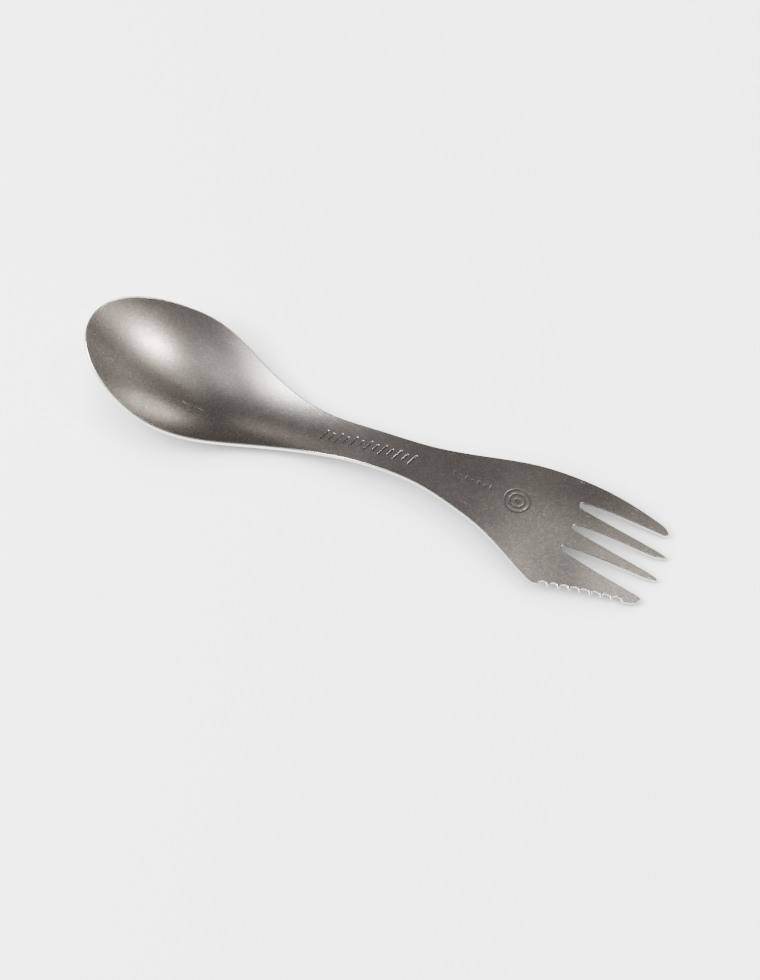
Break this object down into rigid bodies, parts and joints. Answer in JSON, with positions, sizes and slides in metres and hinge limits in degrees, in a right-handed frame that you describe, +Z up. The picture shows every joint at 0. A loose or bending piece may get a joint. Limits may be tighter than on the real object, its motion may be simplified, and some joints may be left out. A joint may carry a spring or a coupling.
{
  "type": "double-ended travel spork",
  "caption": "One-piece pressed titanium travel cutlery with a spoon bowl at one end and a fork with a serrated outer tine at the other.",
  "frame": {"origin": "centre of the outer box, on the surface that the piece lies on", "axes": "+X along the length towards the fork's tips, with the spoon bowl at -X; -Y towards the serrated tine; +Z up, with the bowl's hollow facing up"},
  "size_m": [0.1706, 0.04, 0.0192],
  "materials": {
    "titanium": "bare titanium, bead blasted and tumbled, warm grey with a fine grain"
  },
  "bodies": {
    "root": {"cutlery": "titanium"}
  },
  "joints": []
}
